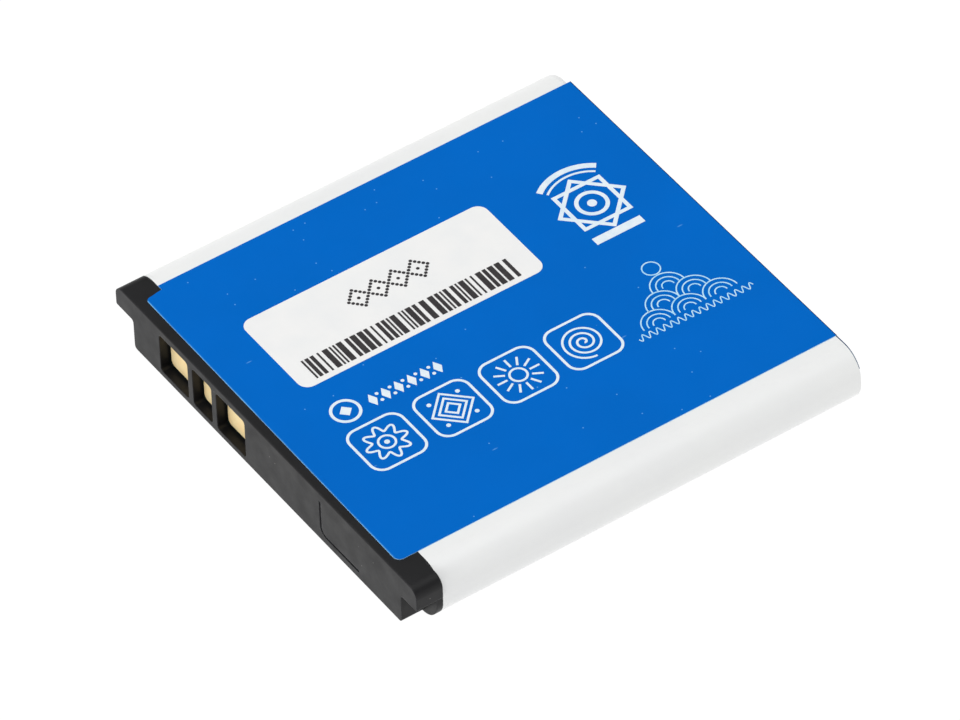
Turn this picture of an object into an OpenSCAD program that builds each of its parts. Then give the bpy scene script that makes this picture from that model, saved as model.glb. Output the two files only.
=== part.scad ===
// Flat rechargeable battery for a mobile phone.
// X runs across the pack, Y along it and Z up. The contacts face -Y and the pack lies on its underside.
// The origin is the middle of the underside.

/* [Pack] */
// Length from the contact face to the folded end of the label
pack_len = 44; // [40:0.5:60]
// Width over the film sleeve
pack_w = 43.9; // [42:0.1:52]
// Thickness over the film sleeve, under the label
pack_t = 5.3; // [4.9:0.1:6.5]
// Radius of the long edges over the film sleeve
side_r = 2.3; // [1.8:0.05:2.4]

/* [Sleeve and label] */
// Thickness of the white film sleeve
sleeve_t = 0.1; // [0.06:0.02:0.2]
// Gap between the sleeve and the can
sleeve_gap = 0.03; // [0.02:0.01:0.08]
// How much further the sleeve reaches on its +X side than on its -X side
sleeve_skew = 0.7; // [0:0.1:1]
// Thickness of the face label
label_t = 0.06; // [0.06:0.02:0.2]
// Flat strip left bare beside the label on the -X side
label_margin_left = 0.7; // [0.2:0.05:2]
// Flat strip left bare beside the label on the +X side
label_margin_right = 1.1; // [0.2:0.05:2]
// Distance from the contact face to the tongue's front +X corner
label_setback = 0.74; // [0.5:0.02:1.6]
// Step in from the label's -X edge to the tongue
tongue_notch = 0.55; // [0.2:0.05:1.5]
// How much further back the tongue's front -X corner is than its +X corner
tongue_skew = 0.26; // [0:0.02:0.5]
// Step in of the tongue's front -X corner from its root
tongue_taper = 0.25; // [0:0.05:0.6]
// Radius of the tongue's -X corner
tongue_left_r = 0.4; // [0.3:0.05:1.2]
// Radius of the tongue's +X corner
tongue_right_r = 0.65; // [0.3:0.05:1.2]
// Height above the underside that the label's end flap stops at
flap_bottom = 0.9; // [0.4:0.1:1.8]
// Height above the underside that the flap's +X wing stops at
wing_bottom = 4.05; // [3.2:0.05:4.3]

/* [Contact holder] */
// Depth from the contact face to the back of the rim
holder_depth = 2.7; // [2.7:0.05:4]
// Thickness of the rim that meets the sleeve
rim_t = 0.6; // [0.4:0.05:0.8]
// Step from the back of the ears to the back of the rim
rim_step = 0.15; // [0.1:0.05:0.3]
// Length of the spigot that enters the sleeve
spigot_len = 0.3; // [0.3:0.05:0.8]
// Distance that the -X ear stops short of the sleeve's side
ear_in = 0.7; // [0.5:0.05:1.2]
// Distance that the +X ear stands out past the sleeve's side
ear_out = 0.25; // [0:0.05:0.5]
// Reach of the -X ear past the lower body
ear_left_reach = 2.5; // [1.8:0.05:2.8]
// Reach of the +X ear past the lower body
ear_right_reach = 2.25; // [1.8:0.05:2.6]
// Height of the ears
ear_h = 2.2; // [1.8:0.1:2.6]
// Outer corner radius of the ears
ear_r = 1; // [0.5:0.1:1.5]
// Fillet under each ear
ear_root_r = 0.3; // [0.2:0.05:0.7]
// Radius of the lower body's bottom corners
body_r = 0.35; // [0.2:0.05:0.8]
// Radius along the top front edge
edge_r = 0.12; // [0.08:0.02:0.4]
// Thickness of the front wall
wall_t = 1; // [0.8:0.05:1.1]
// Thickness of the wall at each end of the board's pocket
side_wall = 1.2; // [0.8:0.1:1.3]
// Thickness of the floor and roof of the board's pocket
pocket_wall = 0.5; // [0.3:0.05:0.6]

/* [Contact windows] */
// Distance from the lower body's -X side to the middle of the middle window
window_in = 10.18; // [9.5:0.01:12]
// Width of the two outer windows
window_outer_w = 4.2; // [3.4:0.1:4.4]
// Width of the middle window
window_mid_w = 2.85; // [2.2:0.05:3.2]
// Width of the rib between two windows
rib_w = 0.65; // [0.4:0.05:0.9]
// Height of the sill under the windows
sill_h = 0.5; // [0.3:0.05:0.7]
// Height of the lintel over the windows
lintel_h = 0.7; // [0.5:0.05:0.9]
// Corner radius of the windows
window_r = 0.35; // [0.1:0.05:0.6]
// Depth of the fine groove in the contact face
groove_depth = 0.12; // [0.05:0.01:0.3]
// Width of the fine groove
groove_w = 0.26; // [0.15:0.01:0.4]
// Distance from the lower body's +X side to the groove's upright
groove_in = 11.4; // [9:0.1:13]
// Length of the groove along the bottom edge
groove_len = 5.4; // [3:0.1:8]

/* [Gold contacts] */
// Thickness of the contact plates
contact_t = 0.1; // [0.05:0.01:0.2]
// Space between a contact and the sides of its window
contact_side = 0.3; // [0.1:0.05:0.5]
// Space between a contact and its window's sill
contact_low = 0.45; // [0.2:0.05:0.8]
// Space between a contact and its window's lintel
contact_high = 0.3; // [0.2:0.05:0.6]
// Corner radius of the contacts
contact_r = 0.5; // [0.2:0.05:0.8]

/* [Circuit board] */
// Thickness of the board
board_t = 0.6; // [0.4:0.05:0.7]
// Space between the board and the pocket around it
board_gap = 0.1; // [0.05:0.05:0.2]
// Diameter of the two locating pegs
peg_d = 0.9; // [0.7:0.05:1]
// Clearance around each peg in its hole
peg_gap = 0.1; // [0.05:0.05:0.15]
// Distance from the board's end to the peg's axis
peg_inset = 0.75; // [0.65:0.05:0.8]
// Length of the pegs behind the board
peg_stand = 0.2; // [0.1:0.05:0.4]

/* [Cell] */
// Radius around the closed end of the can
can_edge_r = 0.6; // [0.3:0.05:1]
// Diameter of the welded filling plug on the lid
plug_d = 1.6; // [1:0.1:2]
// Height of the filling plug
plug_h = 0.1; // [0.05:0.01:0.15]
// Place of the filling plug
plug_x = -9; // [-12:0.5:-6]
// Thickness of the insulating strip on the lid
strip_t = 0.15; // [0.1:0.01:0.2]
// Distance from the can's side to the end of the insulating strip
strip_in = 4.9; // [4:0.1:6]
// Space between the strip and what passes through it
strip_gap = 0.15; // [0.05:0.05:0.3]
// Space above and below the insulating strip
strip_margin = 0.75; // [0.6:0.05:0.9]
// Length of the terminal's gasket plate
gasket_w = 3.6; // [3.2:0.1:4]
// Height of the terminal's gasket plate
gasket_h = 2.4; // [2.2:0.1:2.8]
// Thickness of the gasket plate
gasket_t = 0.2; // [0.15:0.01:0.25]
// Diameter of the gasket's collar in the lid
collar_d = 1.8; // [1.5:0.1:2.1]
// Depth of the collar in the lid
collar_len = 0.8; // [0.5:0.1:1.2]
// Diameter of the rivet's shank
shank_d = 1; // [0.8:0.05:1.2]
// Thickness of the gasket behind the blind end of the shank
collar_floor = 0.2; // [0.15:0.01:0.3]
// Rim of gasket that shows around the rivet's head
gasket_rim = 0.35; // [0.2:0.05:0.45]
// Thickness of the rivet's head
rivet_t = 0.25; // [0.2:0.01:0.3]

/* [Tabs and fuse] */
// Thickness of the nickel tabs
tab_t = 0.15; // [0.1:0.01:0.18]
// Width of the nickel tabs
tab_w = 2.2; // [1.8:0.1:2.4]
// Thickness of the solder plates on the board
plate_t = 0.2; // [0.15:0.01:0.25]
// Height of the solder plates
plate_h = 2.6; // [2.4:0.1:2.8]
// Length of the fuse
fuse_len = 4; // [3.6:0.1:4.2]
// Thickness of the fuse
fuse_t = 0.5; // [0.4:0.02:0.5]
// Height of the fuse
fuse_h = 2.6; // [2.4:0.1:2.8]
// Place of the fuse
fuse_x = 5.2; // [5:0.05:5.6]
// Place of the folded rise of the fuse's tab
fuse_rise_x = 8.8; // [8.2:0.1:9]
// Length of each tab's foot and of its run over a solder plate
tab_run = 2; // [1.6:0.1:2.1]

/* [Board parts] */
// Body of the protection chip along X
guard_len = 2.9; // [2.6:0.1:3]
// Body of the protection chip along Z
guard_h = 1.6; // [1.4:0.1:1.8]
// Height of the protection chip off the board
guard_t = 1; // [0.8:0.05:1.2]
// Span over the protection chip's leads
guard_span = 2.8; // [2.6:0.1:3]
// Body of the switch chip along X
switch_len = 4.4; // [4:0.1:4.6]
// Body of the switch chip along Z
switch_h = 3; // [2.6:0.1:3.2]
// Height of the switch chip off the board
switch_t = 0.95; // [0.8:0.05:1.2]
// Span over the switch chip's leads
switch_span = 6.2; // [6:0.1:6.4]
// Length of the chip resistors
resistor_len = 1; // [0.8:0.1:1.2]
// Height of the chip resistors off the board
resistor_t = 0.35; // [0.25:0.01:0.35]
// Length of the chip capacitors
capacitor_len = 1.6; // [1.4:0.1:1.8]
// Height of the chip capacitors off the board
capacitor_t = 0.8; // [0.6:0.05:0.85]

/* [Print] */
// Thickness of a printed layer
ink_t = 0.02; // [0.01:0.005:0.04]
// Length of the white field
panel_len = 24; // [20:0.5:26]
// Width of the white field
panel_w = 9.55; // [8:0.05:10]
// Corner radius of the white field
panel_r = 1; // [0.5:0.1:1.5]
// Distance from the label's -X edge to the white field
panel_in = 7.65; // [6.5:0.05:8.5]
// Distance from the contact face to the white field
panel_back = 5.55; // [4:0.05:7]
// Length of the stripes
stripe_len = 2.4; // [1.5:0.1:3]
// Width of the narrowest stripe
stripe_w = 0.17; // [0.1:0.01:0.18]
// Distance from the white field's +X edge to the stripes
stripe_in = 0.55; // [0.3:0.05:1]
// Distance from the white field's front edge to the stripes
stripe_back = 1.6; // [0.6:0.1:2]
// Size of the square frames
frame_size = 5.45; // [4.4:0.05:5.8]
// Corner radius of the square frames
frame_r = 1.25; // [0.6:0.05:1.6]
// Width of the printed lines
line_w = 0.24; // [0.15:0.01:0.4]
// Distance between the middles of two frames
frame_pitch = 6.45; // [6:0.05:7]
// Distance from the label's -X edge to the middle of the frames
frame_in = 25.95; // [25:0.05:27]
// Distance from the contact face to the middle of the first frame
frame_back = 7.65; // [6:0.05:9]
// Length of the printed bar
bar_len = 4.8; // [3:0.1:6]
// Width of the printed bar
bar_w = 0.85; // [0.4:0.05:1.2]
// Distance from the label's -X edge to the middle of the printed bar
bar_in = 17; // [16:0.05:18]
// Distance from the contact face to the printed bar
bar_back = 34.45; // [32:0.05:35]

/* [Hidden] */
$fn = 48;
// Small overrun of a cutter past the face that it cuts
over = 0.2;

// Contact face, junction with the sleeve, lid of the can and closed end of the can
front = -pack_len / 2;
junction = front + holder_depth;
lid = junction + spigot_len;
far = pack_len / 2;
can_end = far - label_t;

// Skin over the can, and the can's own section
skin = sleeve_t + sleeve_gap;
can_w = pack_w - 2 * skin;
can_t = pack_t - 2 * skin;
mid_z = pack_t / 2;
// Half the width of the flat top between the two round edges
flat_half = pack_w / 2 - side_r;
can_r = side_r - skin;

// Lower body and ears of the holder
ear_left = -pack_w / 2 + ear_in;
ear_right = pack_w / 2 + ear_out;
body_left = ear_left + ear_left_reach;
body_right = ear_right - ear_right_reach;
ear_z = pack_t - ear_h;
ear_tip_r = 0.15;
rim_front = junction - rim_t;

// Pocket of the board, and the board in it
pocket_left = body_left + side_wall;
pocket_right = body_right - side_wall;
pocket_low = pocket_wall;
pocket_high = pack_t - pocket_wall;
board_left = pocket_left + board_gap;
board_right = pocket_right - board_gap;
board_low = pocket_low + board_gap;
board_high = pocket_high - board_gap;
board_front = front + wall_t;
board_back = board_front + board_t;
board_r = 0.4;
peg_places = [board_left + peg_inset, board_right - peg_inset];

// Windows: middle and width of each, from -X to +X
window_x = body_left + window_in;
window_step = window_mid_w / 2 + rib_w + window_outer_w / 2;
windows = [
    [window_x - window_step, window_outer_w],
    [window_x, window_mid_w],
    [window_x + window_step, window_outer_w]
];
window_low = sill_h;
window_high = pack_t - lintel_h;
groove_x = body_right - groove_in;
groove_r = 0.75;
groove_low = 0.8;
groove_top = pack_t - 0.9;

// Levels between the lid and the board
strip_front = lid - strip_t;
head_back = lid - gasket_t;
head_front = head_back - rivet_t;
head_r = 0.3;
shank_end = lid + collar_len - collar_floor;
strip_r = 0.5;
strip_half = can_w / 2 - strip_in;
fuse_r = 0.3;
fuse_back = strip_front - tab_t;
fuse_front = fuse_back - fuse_t;
plate_back = board_back + plate_t;
fuse_left = fuse_x - fuse_len / 2;
fuse_right = fuse_x + fuse_len / 2;
// Inward step of a tab's edge from the plate or head that it is welded to
weld_step = 0.1;
// Space between the rivet's tab and the fuse
tab_gap = 0.4;
plate_r = 0.2;

// Leads of the two chips, and sizes and places of the small parts
chip_stand = 0.05;
lead_t = 0.12;
lead_level = 0.45;
guard_leads = 3;
guard_pitch = 0.95;
guard_lead_w = 0.35;
switch_leads = 4;
switch_pitch = 0.65;
switch_lead_w = 0.25;
resistor_w = 0.5;
resistor_x = -0.9;
resistor_pitch = 1.2;
resistor_columns = 4;
resistor_rise = 0.75;
capacitor_w = 0.8;

// Places on the back of the board: equal spaces on each side of the parts in the middle
peg_edge = peg_inset + peg_d / 2;
left_room = resistor_x - resistor_w / 2 - board_left - peg_edge;
left_space = (left_room - switch_span - guard_len - capacitor_w) / 4;
switch_x = board_left + peg_edge + left_space + switch_span / 2;
guard_x = switch_x + switch_span / 2 + left_space + guard_len / 2;
right_room = board_right - peg_edge - fuse_rise_x - tab_run - weld_step;
right_space = (right_room - capacitor_w - tab_t - tab_run - weld_step) / 3;
plus_rise_x = board_right - peg_edge - right_space - tab_run - weld_step;
plus_foot_left = plus_rise_x - tab_run;
capacitor_places = [
    guard_x + guard_len / 2 + left_space + capacitor_w / 2,
    plus_rise_x - tab_t - right_space - capacitor_w / 2
];

// Edges of the label, and of what is printed on it
label_left = -flat_half + label_margin_left;
label_right = flat_half - label_margin_right;
label_top = pack_t + label_t;
tongue_left = label_left + tongue_notch;
// The tongue's roots, and its front corners before they are rounded
root_left = [tongue_left, junction];
root_right = [label_right, junction];
nose_left = [tongue_left + tongue_taper, front + label_setback + tongue_skew];
nose_right = [label_right, front + label_setback];
wing_r = 0.5;
flap_r = 1.2;
panel_left = label_left + panel_in;
panel_right = panel_left + panel_w;
panel_front = front + panel_back;
stripe_right = panel_right - stripe_in;
stripe_front = panel_front + stripe_back;
// Width of each stripe and of the space after it, in narrowest stripes
stripe_count = 36;
function stripe_units(i) = 1 + (floor(i * i * i / 4) + i) % 3;
function space_units(i) = 1 + (i * 5 + floor(i / 3)) % 3 % 2;
function stripe_step(i) = (stripe_units(i) + space_units(i)) * stripe_w;
function stripe_start(i) = i == 0 ? 0 : stripe_start(i - 1) + stripe_step(i - 1);
frame_count = 4;
frame_x = label_left + frame_in;
bar_x = label_left + bar_in;

// A rectangle between two corners
module rect(x0, y0, x1, y1) {
    translate([x0, y0]) square([x1 - x0, y1 - y0]);
}

// A rectangle between two corners, with round corners
module round_rect(x0, y0, x1, y1, r) {
    rect(x0 + r, y0, x1 - r, y1);
    rect(x0, y0 + r, x1, y1 - r);
    for (x = [x0 + r, x1 - r], y = [y0 + r, y1 - r])
        translate([x, y]) circle(r);
}

// Half the angle at corner p between the sides towards a and b, the point where a rounding of radius r
// leaves the side towards a, and the middle of that rounding
function unit(v) = v / norm(v);
function half_angle(p, a, b) = acos(unit(a - p) * unit(b - p)) / 2;
function tangent_point(p, a, b, r) = p + unit(a - p) * r / tan(half_angle(p, a, b));
function round_centre(p, a, b, r) = p + unit(unit(a - p) + unit(b - p)) * r / sin(half_angle(p, a, b));

// The material that a fillet adds in the corner at [x, y], on the sides that sx and sy point to
module fillet(x, y, sx, sy, r) {
    difference() {
        rect(min(x, x + sx * r), min(y, y + sy * r), max(x, x + sx * r), max(y, y + sy * r));
        translate([x + sx * r, y + sy * r]) circle(r);
    }
}

// The pack's section with round edges, moved in from its outside by the given depth
module section(depth) {
    round_rect(-pack_w / 2 + depth, depth, pack_w / 2 - depth, pack_t - depth, side_r - depth);
}

// An X-Z outline drawn out along Y
module along_y(y0, y1) {
    translate([0, y1, 0]) rotate([90, 0, 0]) linear_extrude(y1 - y0) children();
}

// A Y-Z outline drawn out along X
module along_x(x0, x1) {
    translate([x0, 0, 0]) rotate([90, 0, 90]) linear_extrude(x1 - x0) children();
}

// An X-Y outline drawn out along Z
module along_z(z0, z1) {
    translate([0, 0, z0]) linear_extrude(z1 - z0) children();
}

// A block between two X, two Y and two Z values
module block(x0, x1, y0, y1, z0, z1) {
    translate([x0, y0, z0]) cube([x1 - x0, y1 - y0, z1 - z0]);
}

// A round bar along Y
module rod(x, y0, y1, d) {
    translate([x, y1, mid_z]) rotate([90, 0, 0]) cylinder(h = y1 - y0, d = d);
}

// The can's outline from the lid to its closed end, out to the given distance on each side
module can_outline(half) {
    rect(-half, lid, half, can_end - can_edge_r);
    rect(-half + can_edge_r, lid, half - can_edge_r, can_end);
    for (side = [-1, 1])
        translate([side * (half - can_edge_r), can_end - can_edge_r]) circle(can_edge_r);
}

// One long edge of the can, turned about an axis along Y
module can_corner(x, z) {
    translate([x, 0, z]) rotate([-90, 0, 0]) rotate_extrude() intersection() {
        can_outline(can_r);
        rect(0, lid, can_r, can_end);
    }
}

// Sealed aluminium can with its lid and filling plug
module cell_can() {
    flat_z = mid_z - skin - can_r;
    color("silver") difference() {
        union() {
            along_x(-flat_half, flat_half)
                translate([0, mid_z]) rotate(-90) can_outline(can_t / 2);
            along_z(mid_z - flat_z, mid_z + flat_z) can_outline(can_w / 2);
            for (x = [-flat_half, flat_half], side = [-1, 1]) can_corner(x, mid_z + side * flat_z);
            rod(plug_x, lid - plug_h, lid + over, plug_d);
        }
        rod(0, lid - over, lid + collar_len, collar_d);
    }
}

// Plastic gasket: a plate on the lid and a cup in it that keeps the rivet off the can
module terminal_gasket() {
    color("ivory") difference() {
        union() {
            block(-gasket_w / 2, gasket_w / 2, lid - gasket_t, lid,
                  mid_z - gasket_h / 2, mid_z + gasket_h / 2);
            rod(0, lid - gasket_t / 2, lid + collar_len, collar_d);
        }
        rod(0, lid - gasket_t - over, shank_end, shank_d);
    }
}

// Nickel-plated rivet: the cell's minus terminal
module terminal_rivet() {
    half_w = gasket_w / 2 - gasket_rim;
    half_h = gasket_h / 2 - gasket_rim;
    color("lightgray") union() {
        along_y(head_front, head_back)
            round_rect(-half_w, mid_z - half_h, half_w, mid_z + half_h, head_r);
        rod(0, head_back - rivet_t / 2, shank_end, shank_d);
    }
}

// Paper strip on the lid, open at the terminal, the filling plug and the plus tab's foot
module lid_insulator() {
    color("khaki") along_y(strip_front, lid) difference() {
        round_rect(-strip_half, strip_margin, strip_half, pack_t - strip_margin, strip_r);
        rect(-gasket_w / 2 - strip_gap, mid_z - gasket_h / 2 - strip_gap,
             gasket_w / 2 + strip_gap, mid_z + gasket_h / 2 + strip_gap);
        translate([plug_x, mid_z]) circle(d = plug_d + 2 * strip_gap);
        rect(plus_foot_left - strip_gap, mid_z - tab_w / 2 - strip_gap,
             plus_rise_x + tab_t + strip_gap, mid_z + tab_w / 2 + strip_gap);
    }
}

// Resettable fuse between the rivet's tab and the board's tab
module thermal_fuse() {
    color("darkorange") along_y(fuse_front, fuse_back)
        round_rect(fuse_left, mid_z - fuse_h / 2, fuse_right, mid_z + fuse_h / 2, fuse_r);
}

// Folded nickel tabs, drawn as an X-Y outline of strip thickness
module rivet_tab() {
    foot_left = -gasket_w / 2 + gasket_rim + weld_step;
    rise = fuse_left - tab_gap;
    color("gainsboro") along_z(mid_z - (gasket_h / 2 - gasket_rim - weld_step),
                               mid_z + (gasket_h / 2 - gasket_rim - weld_step)) {
        rect(foot_left, head_front - tab_t, rise, head_front);
        rect(rise - tab_t, fuse_front - tab_t, rise, head_front);
        rect(rise - tab_t, fuse_front - tab_t, fuse_right - weld_step, fuse_front);
    }
}

module fuse_tab() {
    color("gainsboro") along_z(mid_z - tab_w / 2, mid_z + tab_w / 2) {
        rect(fuse_left + weld_step, fuse_back, fuse_rise_x, strip_front);
        rect(fuse_rise_x - tab_t, plate_back, fuse_rise_x, strip_front);
        rect(fuse_rise_x - tab_t, plate_back, fuse_rise_x + tab_run, plate_back + tab_t);
    }
}

module plus_tab() {
    color("gainsboro") along_z(mid_z - tab_w / 2, mid_z + tab_w / 2) {
        rect(plus_foot_left, lid - tab_t, plus_rise_x, lid);
        rect(plus_rise_x - tab_t, plate_back, plus_rise_x, lid);
        rect(plus_rise_x - tab_t, plate_back, plus_rise_x + tab_run, plate_back + tab_t);
    }
}

// Nickel plate soldered to the back of the board, under the end of a tab
module solder_plate(rise_x) {
    along_y(board_back, plate_back)
        round_rect(rise_x, mid_z - plate_h / 2, rise_x + tab_run + weld_step, mid_z + plate_h / 2, plate_r);
}

module minus_plate() {
    color("silver") solder_plate(fuse_rise_x);
}

module plus_plate() {
    color("silver") solder_plate(plus_rise_x);
}

// Front outline of the holder: a lower body with an ear at each side of its top
module holder_outline() {
    round_rect(body_left, 0, body_right, pack_t, body_r);
    difference() {
        union() {
            round_rect(ear_left, ear_z, ear_right, pack_t, ear_tip_r);
            rect(ear_left + ear_r, ear_z, ear_right - ear_r, pack_t);
        }
        translate([ear_left, pack_t]) mirror([0, 1]) fillet(0, 0, 1, 1, ear_r);
        translate([ear_right, pack_t]) rotate(180) fillet(0, 0, 1, 1, ear_r);
    }
    fillet(body_left, ear_z, -1, -1, ear_root_r);
    fillet(body_right, ear_z, 1, -1, ear_root_r);
}

// Fine groove: an upright, a quarter turn and a run along the bottom edge
module groove_outline() {
    bend_z = groove_low + groove_r;
    bend_x = groove_x + groove_r;
    rect(groove_x - groove_w / 2, bend_z, groove_x + groove_w / 2, groove_top);
    rect(bend_x, groove_low - groove_w / 2, groove_x + groove_len, groove_low + groove_w / 2);
    intersection() {
        translate([bend_x, bend_z]) difference() {
            circle(groove_r + groove_w / 2);
            circle(groove_r - groove_w / 2);
        }
        rect(groove_x - groove_w, groove_low - groove_w, bend_x, bend_z);
    }
}

// Black moulding that holds the board and closes the front of the pack
module contact_holder() {
    color("#262626") difference() {
        union() {
            along_y(front, junction - rim_step) holder_outline();
            along_y(rim_front, junction) section(0);
            along_y(junction - rim_t / 2, lid) section(skin);
        }
        along_y(board_front, lid + over) rect(pocket_left, pocket_low, pocket_right, pocket_high);
        for (window = windows)
            along_y(front - over, board_front + over)
                round_rect(window[0] - window[1] / 2, window_low, window[0] + window[1] / 2, window_high,
                           window_r);
        along_y(front - over, front + groove_depth) groove_outline();
        along_x(ear_left - over, ear_right + over) difference() {
            rect(front - over, pack_t - edge_r, front + edge_r, pack_t + over);
            translate([front + edge_r, pack_t - edge_r]) circle(edge_r);
        }
    }
    color("#262626") for (x = peg_places)
        rod(x, board_front - wall_t / 2, board_back + peg_stand, peg_d);
}

// Circuit board on the back of the front wall, with a hole for each peg
module circuit_board() {
    color("#0d2417") along_y(board_front, board_back) difference() {
        round_rect(board_left, board_low, board_right, board_high, board_r);
        for (x = peg_places) translate([x, mid_z]) circle(d = peg_d + 2 * peg_gap);
    }
}

// Chip body with leads on two opposite sides, standing on the back of the board
module chip(x, len, height, body_t, span, leads, pitch, lead_w, leads_along_x) {
    mid_y = board_back + chip_stand + body_t * lead_level;
    block(x - len / 2, x + len / 2, board_back + chip_stand, board_back + body_t,
          mid_z - height / 2, mid_z + height / 2);
    body_half = (leads_along_x ? len : height) / 2;
    for (side = [-1, 1], i = [0 : leads - 1]) {
        offset_across = (i - (leads - 1) / 2) * pitch;
        translate([x, 0, mid_z]) rotate([0, leads_along_x ? 0 : 90, 0]) mirror([side < 0 ? 1 : 0, 0, 0]) {
            block(body_half - lead_t, body_half + lead_t * 2, mid_y - lead_t / 2, mid_y + lead_t / 2,
                  offset_across - lead_w / 2, offset_across + lead_w / 2);
            block(body_half + lead_t, body_half + lead_t * 2, board_back, mid_y + lead_t / 2,
                  offset_across - lead_w / 2, offset_across + lead_w / 2);
            block(body_half + lead_t, span / 2, board_back, board_back + lead_t,
                  offset_across - lead_w / 2, offset_across + lead_w / 2);
        }
    }
}

module protection_chip() {
    color("#1c1c1e") chip(guard_x, guard_len, guard_h, guard_t, guard_span,
                          guard_leads, guard_pitch, guard_lead_w, false);
}

module switch_chip() {
    color("#1c1c1e") chip(switch_x, switch_len, switch_h, switch_t, switch_span,
                          switch_leads, switch_pitch, switch_lead_w, true);
}

// Chip resistors in a row under the rivet's tab, long sides along Z
module chip_resistors() {
    color("#2b2b33") for (i = [0 : resistor_columns - 1], side = [-1, 1])
        translate([resistor_x + i * resistor_pitch, 0, mid_z + side * resistor_rise])
            block(-resistor_w / 2, resistor_w / 2, board_back, board_back + resistor_t,
                  -resistor_len / 2, resistor_len / 2);
}

// Chip capacitors beside the protection chip and beside the plus plate
module chip_capacitors() {
    color("tan") for (x = capacitor_places)
        block(x - capacitor_w / 2, x + capacitor_w / 2, board_back, board_back + capacitor_t,
              mid_z - capacitor_len / 2, mid_z + capacitor_len / 2);
}

// Gold-plated contact on the board, seen through window number i
module contact(i) {
    half = windows[i][1] / 2 - contact_side;
    color("#e8cf92") along_y(board_front - contact_t, board_front)
        round_rect(windows[i][0] - half, window_low + contact_low,
                   windows[i][0] + half, window_high - contact_high, contact_r);
}

module minus_contact() {
    contact(0);
}

module sense_contact() {
    contact(1);
}

module plus_contact() {
    contact(2);
}

// White film sleeve, cut a little askew at its far end
module film_sleeve() {
    tilt = atan(sleeve_skew / pack_w);
    color("#ececec") difference() {
        along_y(junction, can_end) difference() {
            section(0);
            section(sleeve_t);
        }
        translate([pack_w / 2, can_end, -over]) rotate([0, 0, tilt])
            translate([-pack_w * 1.5, 0, 0]) cube([pack_w * 2, pack_w, pack_t + 2 * over]);
    }
}

// Blue label: a sheet over the face, a tongue onto the holder and a flap down the far end
module face_label() {
    color("#0168c3") union() {
        along_z(pack_t, label_top) {
            rect(label_left, junction, label_right, far);
            polygon([
                root_left + [0, over],
                root_left,
                tangent_point(nose_left, root_left, nose_right, tongue_left_r),
                tangent_point(nose_left, nose_right, root_left, tongue_left_r),
                tangent_point(nose_right, nose_left, root_right, tongue_right_r),
                tangent_point(nose_right, root_right, nose_left, tongue_right_r),
                root_right + [0, over]
            ]);
            translate(round_centre(nose_left, root_left, nose_right, tongue_left_r)) circle(tongue_left_r);
            translate(round_centre(nose_right, nose_left, root_right, tongue_right_r)) circle(tongue_right_r);
        }
        along_y(can_end, far) {
            rect(label_left, mid_z, label_right, label_top);
            rect(label_left + flap_r, flap_bottom, label_right - flap_r, mid_z);
            rect(label_left, flap_bottom + flap_r, label_right, mid_z);
            for (x = [label_left + flap_r, label_right - flap_r])
                translate([x, flap_bottom + flap_r]) circle(flap_r);
            intersection() {
                section(0);
                rect(label_right - wing_r, wing_bottom, pack_w / 2, pack_t);
            }
            fillet(label_right, wing_bottom, 1, -1, wing_r);
        }
    }
}

// White printed field
module print_panel() {
    color("#f2f2f0") along_z(label_top, label_top + ink_t)
        round_rect(panel_left, panel_front, panel_right, panel_front + panel_len, panel_r);
}

// Dark stripes of one to three widths on the white field
module print_stripes() {
    color("#3c3840") for (i = [0 : stripe_count - 1])
        block(stripe_right - stripe_len, stripe_right,
              stripe_front + stripe_start(i), stripe_front + stripe_start(i) + stripe_units(i) * stripe_w,
              label_top + ink_t, label_top + 2 * ink_t);
}

// Row of square frames, and a plain bar
module print_frames() {
    color("#e8f2fb") along_z(label_top, label_top + ink_t) {
        for (i = [0 : frame_count - 1])
            translate([frame_x, front + frame_back + i * frame_pitch]) difference() {
                round_rect(-frame_size / 2, -frame_size / 2, frame_size / 2, frame_size / 2, frame_r);
                round_rect(-frame_size / 2 + line_w, -frame_size / 2 + line_w,
                           frame_size / 2 - line_w, frame_size / 2 - line_w, frame_r - line_w);
            }
        rect(bar_x - bar_w / 2, front + bar_back, bar_x + bar_w / 2, front + bar_back + bar_len);
    }
}

cell_can();
terminal_gasket();
terminal_rivet();
lid_insulator();
thermal_fuse();
rivet_tab();
fuse_tab();
plus_tab();
minus_plate();
plus_plate();
contact_holder();
circuit_board();
protection_chip();
switch_chip();
chip_resistors();
chip_capacitors();
minus_contact();
sense_contact();
plus_contact();
film_sleeve();
face_label();
print_panel();
print_stripes();
print_frames();
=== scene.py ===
"""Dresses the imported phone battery: a finish for each piece, fine print, studio and camera."""

import logging
import math
from collections.abc import Callable, Sequence
from dataclasses import dataclass, field
from enum import Enum

import bmesh
import bpy
from mathutils import Matrix, Vector

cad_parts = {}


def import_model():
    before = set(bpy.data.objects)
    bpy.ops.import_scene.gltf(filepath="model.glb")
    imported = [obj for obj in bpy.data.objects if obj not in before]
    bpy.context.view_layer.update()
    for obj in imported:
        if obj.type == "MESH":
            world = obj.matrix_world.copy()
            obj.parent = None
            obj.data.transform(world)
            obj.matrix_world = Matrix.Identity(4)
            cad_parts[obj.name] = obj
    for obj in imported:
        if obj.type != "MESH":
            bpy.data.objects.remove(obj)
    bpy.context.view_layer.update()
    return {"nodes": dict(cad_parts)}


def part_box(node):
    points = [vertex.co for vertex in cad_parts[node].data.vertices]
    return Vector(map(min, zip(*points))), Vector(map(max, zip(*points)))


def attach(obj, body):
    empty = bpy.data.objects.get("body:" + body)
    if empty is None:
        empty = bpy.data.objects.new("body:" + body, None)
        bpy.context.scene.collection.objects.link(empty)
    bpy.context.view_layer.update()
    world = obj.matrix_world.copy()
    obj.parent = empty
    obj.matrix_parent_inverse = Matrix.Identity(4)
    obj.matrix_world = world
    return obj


MM = 0.001
FULL_TURN = 2 * math.pi
EIGHTH = 0.125  # of a turn
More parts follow.
